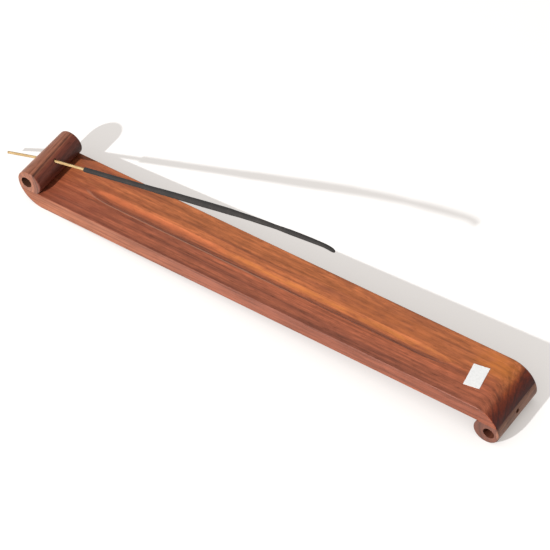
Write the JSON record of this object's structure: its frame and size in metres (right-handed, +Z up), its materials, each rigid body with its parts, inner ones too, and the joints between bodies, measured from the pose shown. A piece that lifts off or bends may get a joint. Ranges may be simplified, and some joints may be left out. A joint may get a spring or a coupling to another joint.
{
  "type": "incense stick holder",
  "caption": "Long wooden incense holder shaped like a flat scroll, rolled up at the heel and under at the foot, with an ash groove on top and a slanted hole that holds a sliding incense stick.",
  "frame": {"origin": "middle of the small flat under the heel on which the holder stands, halfway across the board's width", "axes": "+X along the holder from the heel, where the stick is held, to the foot; +Y across the board to the side away from the picture's camera; +Z up from the table"},
  "size_m": [0.327, 0.038, 0.0643],
  "materials": {
    "sheesham": "satin oiled",
    "paper": "matt",
    "bamboo": "bare split bamboo",
    "charcoal_paste": "matt, slightly lumpy"
  },
  "bodies": {
    "holder": {"board": "sheesham", "upper_roll": "sheesham", "lower_roll": "sheesham", "label": "paper"},
    "stick": {"stick_core": "bamboo", "stick_coat": "charcoal_paste"}
  },
  "joints": [
    {"name": "stick_slide", "type": "slide", "parent": "holder", "child": "stick", "axis": [0.9311, 0, 0.3648], "range_m": [-0.002, 0.04]}
  ]
}
